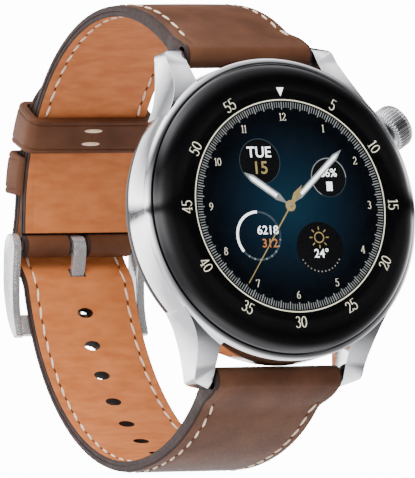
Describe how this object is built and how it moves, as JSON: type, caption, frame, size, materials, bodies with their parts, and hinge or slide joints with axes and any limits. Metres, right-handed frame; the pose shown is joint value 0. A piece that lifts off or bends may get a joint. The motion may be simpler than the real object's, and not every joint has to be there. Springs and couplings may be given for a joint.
{
  "type": "smartwatch",
  "caption": "Round steel smartwatch with a turning, pressing crown, a side button and a brown leather strap closed by a pin buckle around an empty wrist space.",
  "frame": {"origin": "centre of the flat on the rear sensor window, where the watch rests on the wrist", "axes": "+X towards 3 o'clock (the crown side), +Y from the dial into the wrist, +Z towards 12 o'clock"},
  "size_m": [0.0483, 0.0731, 0.0716],
  "materials": {
    "polished_steel": "polished",
    "satin_steel": "satin",
    "glass": "polished, dark from behind",
    "display": "lit dial in dark blue with cream graphics",
    "seal_rubber": "matt",
    "black_plastic": "matt",
    "rear_ceramic": "gloss",
    "board": "satin",
    "cell_foil": "satin",
    "copper": "satin",
    "ferrite": "matt",
    "outer_leather": "smooth, semi-matt, stitched",
    "lining_leather": "fine grain, matt, stitched"
  },
  "bodies": {
    "watch": {"case_body": "polished_steel", "bezel_ring": "polished_steel", "cover_glass": "glass", "glass_gasket": "seal_rubber", "display_panel": "display", "inner_frame": "black_plastic", "main_board": "board", "battery": "cell_foil", "vibration_motor": "satin_steel", "speaker": "black_plastic", "microphone": "satin_steel", "charging_coil": "copper", "ferrite_sheet": "ferrite", "sensor_board": "board", "sensor_window": "glass", "rear_cover": "rear_ceramic", "rear_gasket": "seal_rubber", "rear_cover_screw_1": "satin_steel", "rear_cover_screw_2": "satin_steel", "rear_cover_screw_3": "satin_steel", "rear_cover_screw_4": "satin_steel", "crown_tube": "satin_steel", "crown_switch": "black_plastic", "side_button_switch": "black_plastic", "upper_spring_bar": "satin_steel", "lower_spring_bar": "satin_steel", "upper_strap_outer": "outer_leather", "upper_strap_lining": "lining_leather", "lower_strap_outer": "outer_leather", "lower_strap_lining": "lining_leather", "fixed_keeper": "outer_leather", "buckle_bar": "satin_steel"},
    "crown_press_core": {"crown_plunger": "satin_steel"},
    "crown": {"crown_cap": "polished_steel", "crown_stem": "satin_steel", "crown_seal": "seal_rubber", "crown_circlip": "satin_steel"},
    "side_button_body": {"side_button": "polished_steel", "side_button_seal": "seal_rubber", "side_button_clip": "satin_steel"},
    "upper_release": {"upper_release_pin": "satin_steel"},
    "lower_release": {"lower_release_pin": "satin_steel"},
    "buckle_frame_body": {"buckle_frame": "polished_steel"},
    "buckle_tongue_body": {"buckle_tongue": "polished_steel"},
    "free_keeper_body": {"free_keeper": "outer_leather"}
  },
  "joints": [
    {"name": "crown_press", "type": "slide", "parent": "watch", "child": "crown_press_core", "axis": [-0.866, 0, -0.5], "range_m": [0, 0.0004], "stiffness_N_per_m": 800, "springref_m": -0.0004},
    {"name": "crown_turn", "type": "hinge", "parent": "crown_press_core", "child": "crown", "pos_m": [0.02165, -0.0067, 0.0125], "axis": [0.866, 0, 0.5], "continuous": true},
    {"name": "side_button_press", "type": "slide", "parent": "watch", "child": "side_button_body", "axis": [-0.866, 0, 0.5], "range_m": [0, 0.00035], "stiffness_N_per_m": 800, "springref_m": -0.0004},
    {"name": "upper_pin_release", "type": "slide", "parent": "watch", "child": "upper_release", "axis": [-1, 0, 0], "range_m": [0, 0.0015], "stiffness_N_per_m": 400, "springref_m": -0.001},
    {"name": "lower_pin_release", "type": "slide", "parent": "watch", "child": "lower_release", "axis": [-1, 0, 0], "range_m": [0, 0.0015], "stiffness_N_per_m": 400, "springref_m": -0.001},
    {"name": "buckle_frame_swing", "type": "hinge", "parent": "watch", "child": "buckle_frame_body", "pos_m": [0, 0.05638, 0.00581], "axis": [1, 0, 0], "range_deg": [-0.8, 0.4]},
    {"name": "buckle_tongue_swing", "type": "hinge", "parent": "watch", "child": "buckle_tongue_body", "pos_m": [0, 0.05638, 0.00581], "axis": [1, 0, 0], "range_deg": [-0.4, 2.5]},
    {"name": "free_keeper_slide", "type": "hinge", "parent": "watch", "child": "free_keeper_body", "pos_m": [0, 0.02156, 0.00229], "axis": [1, 0, 0], "range_deg": [-0.5, 6.5]}
  ]
}
